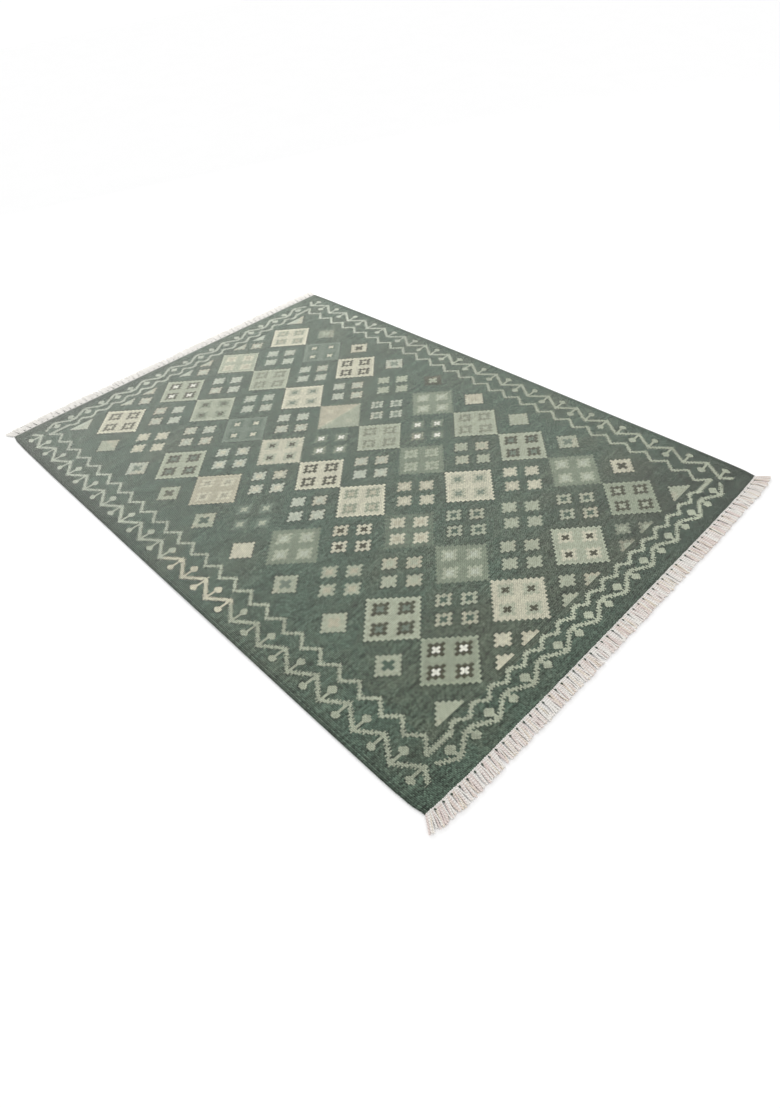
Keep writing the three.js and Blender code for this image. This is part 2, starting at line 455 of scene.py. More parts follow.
def finish_material(start, base_colour, height, depth, constants):
    """Ends a material in one shader, with its bump and the numbers that are the same all over."""
    normal = start.node("ShaderNodeBump", {"Distance": depth, "Height": height})
    sockets = {"Base Color": base_colour, "Normal": normal, **constants}
    shader = start.node("ShaderNodeBsdfPrincipled", sockets)
    start.node("ShaderNodeOutputMaterial", {"Surface": shader})


def teeth(distance, step, grow=0):
    """How many whole teeth a distance is from the middle of a stepped figure, or of one grown all round."""
    return math.floor((abs(distance) - grow).larger(0) / step + 0.5)


def stepped(x, y, step, size, grow=0):
    """A mask for a diamond with toothed sides."""
    return teeth(x, step[0], grow) + teeth(y, step[1], grow) < size


def four_stars(x, y, place, step, size, grow=0):
    """A mask for four toothed figures, which stand round a middle."""
    from_x = abs(x) - place[0]
    from_y = abs(y) - place[1]
    return stepped(from_x, y, step, size, grow).larger(stepped(x, from_y, step, size, grow))


def bud(along, across, half_along, half_across):
    """A mask for a bud with its corners cut off."""
    along = abs(along) / half_along
    across = abs(across) / half_across
    corner = (along + across) * 0.77
    return along.larger(across).larger(corner) < 1


def between(value, low, high):
    """A mask for the values between two limits."""
    return (value > low) * (value < high)


def toothed(along, tooth, grow):
    """How far the edges of a line stand out: every other tooth is wider."""
    depth = 5.2
    return (math.floor(along / tooth) % 2) * depth - depth / 2 + grow


def long_border(x, inward, tooth, grow=0):
    """A mask for the vine and the zigzag guard along a long side. inward is the distance from the edge."""
    along = (math.floor(x / tooth) + 0.5) * tooth
    edge = toothed(along, tooth, grow)

    # The vine swings between two distances from the edge, and each bend holds a bud on a stem.
    # Widths are from the middle of a line to its edge.
    half = 69.4
    outer, inner = 46, 97
    vine_width, stem_width = 7.8, 4.4
    vine_end = 1150
    turn = along.zigzag(half)
    vine = abs(inward - (inner - turn * ((inner - outer) / half))) < vine_width + edge
    stem = (turn.smaller(half - turn) < stem_width + grow) * between(inward, outer + 1, inner - 1)
    outer_bud = bud(turn, inward - (outer + 1), 14 + grow, 11.5 + grow)
    inner_bud = bud(half - turn, inward - (inner - 2), 14.5 + grow, 13 + grow)
    vine = vine.larger(stem).larger(outer_bud).larger(inner_bud) * (x < vine_end + grow)

    guard_half = 41.92
    guard_outer, guard_inner = 127, 164
    guard_width = 7.5
    guard_end = 1089
    swing = along.zigzag(guard_half) * ((guard_inner - guard_outer) / guard_half)
    guard = abs(inward - (guard_outer + swing)) < guard_width + edge
    return vine.larger(guard * (x < guard_end + grow))


def short_border(y, inward, tooth, grow=0):
    """A mask for the vine and the wavy guard along an end."""
    along = (math.floor(y / tooth) + 0.5) * tooth
    edge = toothed(along, tooth, grow)

    # The same vine with flattened bends
    half = 75
    outer, inner = 49, 83
    vine_width, stem_width = 7.2, 4.5
    border_end = 730
    turn = along.zigzag(half)
    crest = ((turn - 11) / 53).kept()
    vine = abs(inward - (inner - crest * (inner - outer))) < vine_width + edge
    stem = (turn.smaller(half - turn) < stem_width + grow) * between(inward, outer + 5, inner - 4)
    outer_bud = bud(turn, inward - (outer + 8), 16 + grow, 13 + grow)
    inner_bud = bud(half - turn, inward - (inner - 7), 16 + grow, 13 + grow)
    vine = vine.larger(stem).larger(outer_bud).larger(inner_bud) * (y < border_end + grow)

    # The guard waves along the field and runs straight past the field's corners
    guard_half = 38
    guard_outer, guard_inner = 107, 125
    guard_width = 7
    wave_end = 648
    straight_start, straight_inward = 640, 112
    guard_crest = ((along.zigzag(guard_half) - 8) / 22).kept()
    swing = guard_crest * (guard_inner - guard_outer)
    wave = (abs(inward - (guard_inner - swing)) < guard_width + edge) * (y < wave_end)
    straight = abs(inward - straight_inward) < guard_width + edge
    straight = straight * between(y, straight_start, border_end + grow)
    return vine.larger(wave).larger(straight)


def wool_material(rug):
    """Weft-faced wool: the pattern by stitches, dye lots, single stitches and the beads of the weft, with
    painted shade and painted highlights.
    """
    cloth, pattern, dyes = rug.cloth, rug.pattern, rug.dyes
    material, start = new_material("wool")
    x, y, _ = start.attribute("loom_place", "Vector").parts()
    rib = cloth.rib_pitch / MM
    pick = cloth.pick_pitch / MM
    half_length = cloth.length / MM / 2
    half_width = cloth.width / MM / 2
    along, across = (size / MM for size in pattern.repeat)
    diamond_step, small_step, star_step, star_place = (
        [size / MM for size in pair]
        for pair in (pattern.diamond_step, pattern.small_step, pattern.star_step, pattern.star_place)
    )

    # One stitch is a weft over one warp, half a pick further on over the next warp.
    warp = math.floor(y / rib)
    weft = x / pick + (warp % 2) * 0.5
    stitch = start.chance(warp, math.floor(weft))
    slub = start.chance(warp, math.floor(weft / 2.5))
    yarn_lot = start.chance(math.floor(warp / 3), math.floor(weft / 5))
    check = (math.floor(x / 4.2) + warp) % 2
    rib_round = abs((y / rib * math.pi).sine())

    # Lots of dye across the rug, broad patches, streaks, and cells between slanting joins
    lots = start.noise(x * 0.02, y * 0.0012, 3, 0.7)
    patches = start.noise(x * 0.006, y * 0.004, 2, 0.5)
    streaks = start.noise(x * 0.09, y * 0.007, 2, 0.6)
    slant = math.floor(x / (along / 2) + y / (across / 2))
    back_slant = math.floor(x / (along / 2) - y / (across / 2))
    joins = start.chance(slant, back_slant)

    # The ground is browner by patches, cells and yarn lots, and most of all in the near part of the field
    field_length, field_width = 2150, 1380
    inside_guards = (abs(y) < field_width / 2) * (abs(x) < field_length / 2)
    near_field = ((x - 450) / 500).kept() * inside_guards
    earthy = (patches - 0.5) * 1.4 + (joins - 0.5) * 0.4 + (yarn_lot - 0.5) * 0.35
    earthy = (earthy + 0.2 + near_field * 0.6).kept()
    ground = start.colour(dyes.ground).mixed(earthy, (*dyes.earth, 1))

    # Where each figure lies: big diamonds, their four figures, groups of stars, small diamonds, the border
    heart_step = [size * 0.76 for size in star_step]
    small_heart_step = [size * 1.25 for size in small_step]
    diamond_x = x - along * math.floor(x / along + 0.5)
    diamond_y = y - across * (math.floor(y / across) + 0.5)
    star_x = x - along * (math.floor(x / along) + 0.5)
    star_y = y - across * math.floor(y / across + 0.5)
    small_y = abs(y) - pattern.small_row / MM
    in_stars = abs(y) < across * 1.5
    in_field = abs(x) < pattern.field_end / MM
    from_side = half_width - (math.floor(abs(y) / rib) + 0.5) * rib
    from_end = half_length - (math.floor(abs(x) / rib) + 0.5) * rib

    def diamonds(grow=0):
        return stepped(diamond_x, diamond_y, diamond_step, DIAMOND_TEETH, grow)

    def in_rows(groups, small):
        return (groups * in_stars + small * (1 - in_stars)) * in_field

    def stars(grow=0):
        groups = four_stars(star_x, star_y, star_place, star_step, STAR_TEETH, grow)
        return in_rows(groups, stepped(star_x, small_y, small_step, SMALL_TEETH, grow))

    def borders(grow=0):
        long_side = long_border(abs(x), from_side, pattern.border_tooth / MM, grow)
        return long_side.larger(short_border(abs(y), from_end, rib, grow))

    # The dyes that each face carries, in the order in which they are laid, and where each one shows
    masks = {
        "diamond_dye": diamonds(),
        "ring_dye": four_stars(diamond_x, diamond_y, star_place, star_step, STAR_TEETH),
        "heart_dye": four_stars(diamond_x, diamond_y, star_place, heart_step, HEART_TEETH),
        "star_dye": stars(),
        "star_heart_dye": in_rows(
            four_stars(star_x, star_y, star_place, heart_step, HEART_TEETH),
            stepped(star_x, small_y, small_heart_step, HEART_TEETH),
        ),
        "border_dye": borders(),
    }
    layers = {name: start.attribute(name, "Color") for name in masks}
    strong = layers["diamond_dye"].output("Alpha") > 0.85
    strong_star = layers["star_dye"].output("Alpha") > 0.85

    # Slubs and streaks, a painted slit shadow on the ground round the borders and every strong figure,
    # stronger towards the far end, painted shade at the near end and in the far left margin, and darker cords
    # How strong the painted slit shadow and the painted rim highlight are: stronger towards the far end
    painted_edge_strength = 0.5 - x * 0.00016
    painted_slit_shadow = (diamonds(4) * strong).larger(stars(3.5) * strong_star).larger(borders(3))
    ground_light = (1 - painted_slit_shadow * painted_edge_strength) * (slub * 0.8 + streaks * 1.25 - 0.03)
    # Painted shade: the near end darker, more so towards the right, and the far left margin darker
    rightwards = ((y + 700) / 1400).kept()
    near_painted_shade = ((x - 650) / 480).kept() * (0.08 + rightwards * rightwards * 0.45)
    margin = from_side.smaller(from_end) < 50
    far_painted_shade = ((200 - x) / 800).kept() * ((200 - y) / 600).kept() * margin
    ground_light = ground_light * (1 - near_painted_shade) * (1 - far_painted_shade * 0.4)
    # The two cords are darker partly for darker wool and partly as painted shade along the corded sides
    edge = half_width - abs(y)
    first_cord = edge < 6.5
    second_cord = between(edge, 12.5, 17)
    ground_light = ground_light * (1 - first_cord.larger(second_cord) * 0.42)
    colour = ground.mixed(1, ground_light, "MULTIPLY")

    # A weaker dye leaves some stitches thin. Each star lies in a cell of its own, and some are spun with a
    # warmer yarn.
    blush = (joins * 1.3 - 0.6 + (yarn_lot - 0.5) * 0.7).kept()
    for name, mask in masks.items():
        strength = (layers[name].output("Alpha") * 1.5 - stitch * 0.5).kept()
        dye = layers[name].mixed(blush, (*dyes.beige, 1)) if name == "star_dye" else layers[name]
        colour = colour.mixed(mask * strength, dye)

    # Painted highlights on the rims, lighter and darker lots, painted shade between the ribs, and no two
    # stitches quite alike
    painted_rim_highlight = (masks["diamond_dye"] - diamonds(-4)) * strong
    lightness = 1 + painted_rim_highlight * painted_edge_strength * 0.55 + (lots - 0.5) * 0.3 + (stitch - 0.5) * 0.24 + (slub - 0.5) * 0.28
    lightness = lightness + (check - 0.5) * 0.28 + (yarn_lot - 0.5) * 0.1 + (rib_round - 0.64) * 0.5
    colour = colour.mixed(1, lightness, "MULTIPLY")

    bead = ((weft % 1 - 0.5) * math.pi * 2).sine()
    height = rib_round * 0.5 + abs(bead) * rib_round * 0.4 + stitch * 0.15
    constants = {
        "Roughness": 0.95,
        "Specular IOR Level": 0.15,
        "Sheen Weight": 1,
        "Sheen Roughness": 0.38,
        "Sheen Tint": (0.98, 0.98, 0.93, 1),
    }
    finish_material(start, colour, height, 0.0007, constants)
    return material


def cotton_material(fringe):
    """Fringe cotton: each yarn its own shade, two plies twisted round each other with painted shade in the
    grooves between them, pale at the tips.
    """
    material, start = new_material("cotton")
    tint = start.attribute("tint")
    along = start.attribute("along")
    turn_x, turn_y, _ = start.attribute("turn", "Vector").parts()
    angle = start.maths("ARCTAN2", turn_y, turn_x)
    ply = (angle * 2 + along * 44).sine() * 0.5 + 0.5
    colour = start.colour(fringe.white).mixed((tint * 3 - 1).kept(), (*fringe.blush, 1))
    colour = colour.mixed((tint * 4 - 3).kept(), (*fringe.cream, 1))
    # Painted shade in the grooves between the plies, fainter towards the tips
    groove = (1 - ply) * (0.5 - along * 0.25)
    colour = colour.mixed(1, 1 - groove, "MULTIPLY")
    constants = {"Roughness": 0.9, "Specular IOR Level": 0.2, "Sheen Weight": 0.2}
    finish_material(start, colour, ply, 0.0004, constants)
    return material


def weft_end_and_gap_shade_material(dyes):
    """Dark wool of the weft ends, with a fine grain; the loops are partly weft ends, partly painted shade of
    the gaps between the bundles.
    """
    material, start = new_material("weft_end_wool")
    place = start.node("ShaderNodeTexCoord", None, "Object")
    fibre = start.node("ShaderNodeTexNoise", {"Vector": place, "Scale": 900, "Detail": 2})
    dark = start.colour([level * 0.55 for level in dyes.ground])
    colour = dark.mixed(fibre, (*dyes.ground, 1))
    finish_material(start, colour, fibre, 0.0004, {"Roughness": 0.95, "Specular IOR Level": 0.15})
    return material


def cloth_section(cloth):
    """A cut across the cloth, over the top from left to right and back along the underside.

    Returns loom places, heights, and the seams: pairs of a top and an underside point, one pair in the
    groove beside each cord and in each hollow between two ribs. They divide an end into small faces.
    """
    half = cloth.width / 2
    radius = cloth.cord / 2
    ribs = int((half - 2 * cloth.cord) / cloth.rib_pitch)
    first_rib = half - ribs * cloth.rib_pitch
    second_cord = (2 * radius + first_rib) / 2
    quarter = radius * math.sqrt(0.5)
    rise = cloth.thickness + 0.1 * cloth.cord
    shoulder = 0.93 * rise
    groove = 0.66 * cloth.cord
    under_groove = 0.2 * cloth.cord
    lift = 0.0002
    over = [
        (0, radius),
        (radius - quarter, radius + quarter),
        (radius, 2 * radius),
        (radius + quarter, radius + quarter),
        (2 * radius, groove),
        (0.5 * (2 * radius + second_cord), shoulder),
        (second_cord, rise),
        (0.5 * (second_cord + first_rib), shoulder),
    ]
    under = [
        (radius - quarter, radius - quarter),
        (radius, 0),
        (radius + quarter, radius - quarter),
        (2 * radius, under_groove),
        (second_cord, 0),
    ]
    steps = np.arange(-4 * ribs, 4 * ribs + 1)
    hollow = np.array((1, 0.3, 0, 0.3))[steps % 4]
    middle_top = np.column_stack((steps * cloth.rib_pitch / 4, cloth.thickness - cloth.rib_depth * hollow))
    hollows = np.arange(ribs, -ribs - 1, -1)
    middle_under = np.column_stack((hollows * cloth.rib_pitch, np.full(len(hollows), lift)))
    left_over = [(-half + inset, height) for inset, height in over]
    right_over = [(half - inset, height) for inset, height in reversed(over)]
    right_under = [(half - inset, height) for inset, height in under]
    left_under = [(-half + inset, height) for inset, height in reversed(under)]
    section = np.vstack((left_over, middle_top, right_over, right_under, middle_under, left_under))
    top_count = 2 * len(over) + len(middle_top)
    left_groove = (4, len(section) - 4)
    right_groove = (top_count - 5, top_count + 3)
    rib_seams = [
        (len(over) + 4 * rib, top_count + len(under) + 2 * ribs - rib) for rib in range(2 * ribs + 1)
    ]
    return section[:, 0], section[:, 1], [left_groove, *rib_seams, right_groove]


def end_faces(seams, size):
    """Faces that close one end of the cloth, as rings of section points seen from the far end."""
    (top, under), (last_top, last_under) = seams[0], seams[-1]
    faces = [[*range(under, size), *range(top + 1)]]
    for (top, under), (next_top, next_under) in zip(seams, seams[1:]):
        faces.append([*range(top, next_top + 1), *range(next_under, under + 1)])
    faces.append([*range(last_top, last_under + 1)])
    return faces


def charted(rows, colourways, layer, dyes, row, column, half):
    """The colour of one layer of a chart for faces in its rows and columns, clear outside the chart.

    half is 0 for faces in the far half of their figure and 1 for those in the near half.
    """
    chart = np.zeros((len(rows) + 2, len(rows[0]) + 2, 2, 4), dtype=np.float32)
    for r, names in enumerate(rows):
        for c, name in enumerate(names):
            for h, one in enumerate(name if isinstance(name, tuple) else (name, name)):
                dye, strength = colourways[one][layer]
                chart[r + 1, c + 1, h] = (*getattr(dyes, dye), strength)
    return chart[np.clip(row, -1, len(rows)) + 1, np.clip(column, -1, len(rows[0])) + 1, half]


def border_colours(dyes, x, y):
    """Pale border yarn, a little lighter or darker by stretches, with a warm stretch on the left side."""
    # Where the borders of the long sides begin, and where the vines begin on the sides and on the ends
    side, side_vine, end_vine = 0.66, 0.735, 1.105
    side_stretch, end_stretch = 0.14, 0.15
    warm_start, warm_end = -0.06, 0.27

    count = 400
    lots = np.random.default_rng(dyes.lot_seed).uniform(0.9, 1.1, size=count)
    on_side = np.abs(y) > side
    on_vine = np.where(on_side, np.abs(y) > side_vine, np.abs(x) > end_vine)
    along_side = np.floor(x / side_stretch) + 20 * np.sign(y)
    along_end = np.floor(y / end_stretch) + 60 * np.sign(x)
    stretch = np.where(on_side, along_side, along_end)
    lots = lots[(stretch + count / 4 + count / 2 * on_vine).astype(int) % count]
    # Towards the far end the yarn turns to mist, partly a greyer yarn and partly painted light
    far = np.clip(0.3 - x / 1.1, 0, 1)[:, None]
    yarn = np.array(dyes.pale_sage) * (1 - far) + np.array(dyes.mist) * far
    warm_yarn = (np.array(dyes.beige) + np.array(dyes.cream)) * 0.54
    warm = (y < -side_vine) & (x > warm_start) & (x < warm_end)
    yarn = np.where(warm[:, None], warm_yarn, yarn)

    # The near end is lighter towards the right
    near = np.clip((x - 0.95) / 0.1, 0, 1)
    rightwards = np.clip((y + 0.75) / 0.5, 0, 1)
    light = lots * (1 + near * (0.22 * rightwards - 0.08))
    return np.column_stack((yarn * light[:, None], np.full(len(x), 0.98)))


def add_attribute(mesh, name, kind, domain, values):
    """Stores one array of numbers on a mesh."""
    field = "color" if kind == "FLOAT_COLOR" else "vector" if kind == "FLOAT_VECTOR" else "value"
    layer = mesh.attributes.new(name, kind, domain)
    layer.data.foreach_set(field, np.ascontiguousarray(values, dtype=np.float32).ravel())


def add_object(name, data):
    """Puts a mesh, a light or a camera in the scene, at the origin."""
    made = bpy.data.objects.new(name, data)
    bpy.context.scene.collection.objects.link(made)
    return made


def build_cloth(rug):
    """The cloth as one closed mesh with a rib over each warp, in one piece with its corded sides."""
    cloth, pattern, dyes = rug.cloth, rug.pattern, rug.dyes
    loom_y, height, seams = cloth_section(cloth)
    size = len(loom_y)
    half_length = cloth.length / 2

    # Cuts across the cloth, four to a repeat of the pattern and closer together near the ends
    spacing = pattern.repeat[0] / 4
    count = int(half_length / spacing)
    ends = np.array((0.0, 0.003, 0.012, 0.025, 0.05, 0.07))
    rows = np.arange(-count, count + 1) * spacing
    loom_x = np.unique(np.round(np.concatenate((rows, ends - half_length, half_length - ends)), 6))
    grid_x, grid_y = np.meshgrid(loom_x, loom_y, indexing="ij")
    x, y = laid_out(cloth, grid_x, grid_y)

    # The last few millimetres thin towards the fringe, and the cloth lifts here and there off the floor
    thin_length, thin_share = 0.003, 0.72
    from_end = half_length - np.abs(grid_x)
    middle = cloth.thickness / 2
    share = thin_share + (1 - thin_share) * np.clip(from_end / thin_length, 0, 1)
    z = middle + (height - middle) * share
    wave = np.sin(2.3 * grid_x + 3.1 * grid_y + 0.6) * np.sin(3.7 * grid_x - 1.9 * grid_y + 2.1)
    z = z + cloth.ripple * np.clip(wave, 0, 1) * np.clip(from_end / 0.25, 0, 1)

    index = np.arange(grid_x.size).reshape(grid_x.shape)
    beside = np.roll(index, -1, axis=1)
    quads = np.stack((index[:-1], index[1:], beside[1:], beside[:-1]), axis=-1).reshape(-1, 4)
    caps = end_faces(seams, size)
    last = (len(loom_x) - 1) * size
    faces = [*quads.tolist(), *caps, *([last + point for point in reversed(face)] for face in caps)]
    mesh = bpy.data.meshes.new("cloth")
    mesh.from_pydata(np.stack((x, y, z), axis=-1).reshape(-1, 3), [], faces)
    mesh.shade_smooth()

    place = np.stack((grid_x / MM, grid_y / MM, np.zeros_like(grid_x)), axis=-1)
    add_attribute(mesh, "loom_place", "FLOAT_VECTOR", "POINT", place)
    face_x = (loom_x[:-1, None] + loom_x[1:, None]) / 2 + np.zeros(size)
    face_y = (loom_y + np.roll(loom_y, -1)) / 2 + np.zeros((len(loom_x) - 1, 1))
    cap_y = [float(np.mean(loom_y[face])) for face in caps]
    cap_x = np.full(len(caps), half_length)
    face_x = np.concatenate((face_x.ravel(), -cap_x, cap_x))
    face_y = np.concatenate((face_y.ravel(), cap_y, cap_y))
    along, across = pattern.repeat
    half = (face_x > np.floor(face_x / along + 0.5) * along).astype(int)
    charts = (
        (DIAMOND_ROWS, DIAMOND_DYES, ("diamond_dye", "ring_dye", "heart_dye"), 0.5, 0),
        (STAR_ROWS, STAR_DYES, ("star_dye", "star_heart_dye"), 0, 0.5),
    )
    for chart, colourways, names, shift_x, shift_y in charts:
        column = np.floor(face_x / along + shift_x).astype(int) + len(chart[0]) // 2
        row = np.floor(face_y / across + shift_y).astype(int) + len(chart) // 2
        for layer, name in enumerate(names):
            colours = charted(chart, colourways, layer, dyes, row, column, half)
            add_attribute(mesh, name, "FLOAT_COLOR", "FACE", colours)
    add_attribute(mesh, "border_dye", "FLOAT_COLOR", "FACE", border_colours(dyes, face_x, face_y))
    mesh.materials.append(wool_material(rug))
    return add_object("cloth", mesh)


def new_tree(name, inputs):
    """A Geometry Nodes tree with named inputs, and the wire of its first input."""
    tree = bpy.data.node_groups.new(name, "GeometryNodeTree")
    for label, kind in inputs.items():
        tree.interface.new_socket(label, in_out="INPUT", socket_type=f"NodeSocket{kind}")
    tree.interface.new_socket("Geometry", in_out="OUTPUT", socket_type="NodeSocketGeometry")
    return tree, Wire(tree).node("NodeGroupInput")


def end_tree(made, material):
    """Ends a tree in plain geometry with a smooth finish and its material."""
    made = made.node("GeometryNodeSetShadeSmooth", {"Geometry": made})
    made = made.node("GeometryNodeRealizeInstances", {"Geometry": made})
    made = made.node("GeometryNodeSetMaterial", {"Geometry": made, "Material": material})
    made.node("NodeGroupOutput", {"Geometry": made})


def field_of(start, name, kind):
    """An attribute of the points that a tree works on."""
    return start.node("GeometryNodeInputNamedAttribute", {"Name": name}, data_type=kind)


def stored(made, name, kind, domain, value):
    """The geometry with an attribute stored on it."""
    inputs = {"Geometry": made, "Name": name, "Value": value}
    return made.node("GeometryNodeStoreNamedAttribute", inputs, data_type=kind, domain=domain)


def shuffled(start, seed):
    """A random number between 0 and 1 for each point or instance."""
    return start.node("FunctionNodeRandomValue", {"Seed": seed}, 1, data_type="FLOAT")


def bead_of(start, segments, rings, size, turn=0):
    """A small ball, stretched to a size and turned about the upright."""
    ball = start.node("GeometryNodeMeshUVSphere", {"Segments": segments, "Rings": rings, "Radius": 0.5})
    inputs = {"Geometry": ball, "Rotation": (0, 0, turn), "Scale": start.vector(*size)}
    return start.node("GeometryNodeTransform", inputs)


def fringe_tree():
    """Yarns that bend down from their roots to the floor, under a header of slanting stitches."""
    tree, roots = new_tree(
        "Fringe",
        {
            "Roots": "Geometry",
            "Yarn Thickness": "Float",
            "Root Height": "Float",
            "Curl": "Float",
            "Stitch Pitch": "Float",
            "Warmth": "Float",
            "Seed": "Int",
            "Material": "Material",
        },
    )
    thickness = roots.output("Yarn Thickness")
    pitch = roots.output("Stitch Pitch")
    seed = roots.output("Seed")

    # One yarn on each loose point, pointed and stretched by the point's own heading and reach
    reach = field_of(roots, "reach", "FLOAT")
    heading = field_of(roots, "heading", "FLOAT_VECTOR")
    line = roots.node("GeometryNodeCurvePrimitiveLine", {"End": (1, 0, 0)})
    line = roots.node("GeometryNodeResampleCurve", {"Curve": line, "Count": 9})
    yarns = roots.node(
        "GeometryNodeInstanceOnPoints",
        {
            "Points": roots,
            "Selection": reach > 0,
            "Instance": line,
            "Rotation": roots.node("FunctionNodeAlignRotationToVector", {"Vector": heading}, axis="X"),
            "Scale": roots.vector(reach, 1, 1),
        },
    )
    yarns = stored(yarns, "tint", "FLOAT", "INSTANCE", shuffled(roots, seed) * roots.output("Warmth"))
    yarns = roots.node("GeometryNodeRealizeInstances", {"Geometry": yarns})
    along = roots.node("GeometryNodeSplineParameter")
    yarns = stored(yarns, "along", "FLOAT", "POINT", along)

    # Each yarn strays its own way, and sinks from its root to lie on the floor
    tint = field_of(roots, "tint", "FLOAT")
    spot = roots.node("GeometryNodeInputPosition")
    place = {"Vector": spot, "W": tint * 40, "Scale": 26, "Detail": 1}
    stray = roots.node("ShaderNodeTexNoise", place, "Color", noise_dimensions="4D")
    stray_x, stray_y, stray_z = stray.parts()
    curl = roots.output("Curl") * along
    fall = (1 - along * 2.2).kept()
    fall = fall * fall * (3 - fall * 2)
    floor_height = thickness * (0.52 + stray_z.kept() * 0.9)
    height = floor_height + (roots.output("Root Height") - floor_height) * fall
    shift = roots.vector((stray_x - 0.5) * curl, (stray_y - 0.5) * curl * 2, height)
    yarns = roots.node("GeometryNodeSetPosition", {"Geometry": yarns, "Offset": shift})

    ring = roots.node("GeometryNodeCurvePrimitiveCircle", {"Resolution": 6, "Radius": 1.0})
    ring = stored(ring, "turn", "FLOAT_VECTOR", "POINT", spot)
    yarns = roots.node(
        "GeometryNodeCurveToMesh",
        {
            "Curve": yarns,
            "Profile Curve": ring,
            "Scale": thickness * (0.46 + stray_z * 0.08),
            "Fill Caps": True,
        },
    )

    # The header: slanting stitches in a row on the line along the cloth's end
    header = roots.node("GeometryNodeMeshToCurve", {"Mesh": roots})
    header = roots.node("GeometryNodeResampleCurve", {"Curve": header, "Length": pitch}, mode="LENGTH")
    bead = bead_of(roots, 6, 4, (pitch * 1.3, thickness * 1.35, thickness * 0.9), math.radians(28))
    tangent = roots.node("GeometryNodeInputTangent")
    stitches = roots.node(
        "GeometryNodeInstanceOnPoints",
        {
            "Points": header,
            "Instance": bead,
            "Rotation": roots.node("FunctionNodeAlignRotationToVector", {"Vector": tangent}, axis="X"),
            "Scale": 0.75 + shuffled(roots, seed + 1) * 0.45,
        },
    )
    stitches = stored(stitches, "tint", "FLOAT", "INSTANCE", shuffled(roots, seed) * 0.4)
    made = roots.node("GeometryNodeJoinGeometry", {"Geometry": [yarns, stitches]})
    end_tree(made, roots.output("Material"))
    return tree


def weft_end_and_gap_shade_tree():
    """A short loop of dark weft on each point, each turned its own way; the loops are partly painted shade of
    the gaps between the bundles.
    """
    tree, points = new_tree(
        "Weft Ends", {"Points": "Geometry", "Thickness": "Float", "Seed": "Int", "Material": "Material"}
    )
    thickness = points.output("Thickness")
    bead = bead_of(points, 8, 5, (thickness * 2.2, thickness * 1.3, thickness))
    turn = (shuffled(points, points.output("Seed")) - 0.5) * 0.9
    turned = points.node("FunctionNodeAxisAngleToRotation", {"Axis": (0, 0, 1), "Angle": turn})
    loops = points.node(
        "GeometryNodeInstanceOnPoints", {"Points": points, "Instance": bead, "Rotation": turned}
    )
    end_tree(loops, points.output("Material"))
    return tree


def grown(name, mesh, tree, values):
    """The plain mesh that a tree makes of a mesh of points, as a new piece."""
    piece = add_object(name, mesh)
    modifier = piece.modifiers.new("Made", "NODES")
    modifier.node_group = tree
    for socket in tree.interface.items_tree:
        if socket.in_out == "INPUT" and socket.name in values:
            modifier[socket.identifier] = values[socket.name]
    graph = bpy.context.evaluated_depsgraph_get()
    result = bpy.data.meshes.new_from_object(piece.evaluated_get(graph), depsgraph=graph)
    if not result.polygons:
        raise RuntimeError(f"{name} came out empty")
    piece.modifiers.clear()
    piece.data = result
    bpy.data.meshes.remove(mesh)
    result.name = name
    return piece


def end_place(cloth, sign, share, outwards):
    """Points beyond one end of the cloth, at shares of its width from the left side."""
    half = sign * cloth.length / 2
    x, y = laid_out(cloth, np.full_like(share, half), (share - 0.5) * cloth.width)
    return x + sign * outwards, y


def fringe_points(rug, sign, lean_table):
    """The roots of one end's yarns with their heading and reach, and the line of its header."""
    cloth, fringe = rug.cloth, rug.fringe
    shuffle = np.random.default_rng(fringe.seed + (sign > 0))
    bundle, yarn = np.divmod(np.arange(fringe.bundles * fringe.yarns), fringe.yarns)
    offset = (yarn + 0.5) / fringe.yarns - 0.5
    root = (bundle + 0.5 + offset * fringe.gather) / fringe.bundles
    root_x, root_y = end_place(cloth, sign, root, MM)
    spread = (1 - fringe.gather) * offset * cloth.width / fringe.bundles
    lean = np.radians(eased(lean_table, root) + shuffle.normal(0, 3.2, len(root)))
    lean += np.radians(shuffle.normal(0, 2.2, fringe.bundles))[bundle]
    reach = fringe.reach + fringe.reach_spread * shuffle.uniform(-1, 1, len(root))
    reach += fringe.reach_spread * shuffle.uniform(-0.6, 0.6, fringe.bundles)[bundle]
    tip_x = sign * reach * np.cos(lean)
    tip_y = reach * np.sin(lean) + spread
    yarns = np.column_stack((root_x, root_y, np.zeros_like(root_x)))
    heading = np.column_stack((tip_x, tip_y, np.zeros_like(tip_x)))

    # The header's points have neither heading nor reach, so no yarn grows from them
    out, up = fringe.header_place
    header_x, header_y = end_place(cloth, sign, np.linspace(0.003, 0.997, 160), out)
    header = np.column_stack((header_x, header_y, np.full_like(header_x, up)))
    none = np.zeros_like(header)
    line = len(yarns) + np.arange(len(header))
    mesh = bpy.data.meshes.new("fringe_points")
    mesh.from_pydata(np.vstack((yarns, header)), np.column_stack((line[:-1], line[1:])).tolist(), [])
    reach = np.concatenate((np.hypot(tip_x, tip_y), none[:, 0]))
    add_attribute(mesh, "reach", "FLOAT", "POINT", reach)
    add_attribute(mesh, "heading", "FLOAT_VECTOR", "POINT", np.vstack((heading, none)))
    return mesh


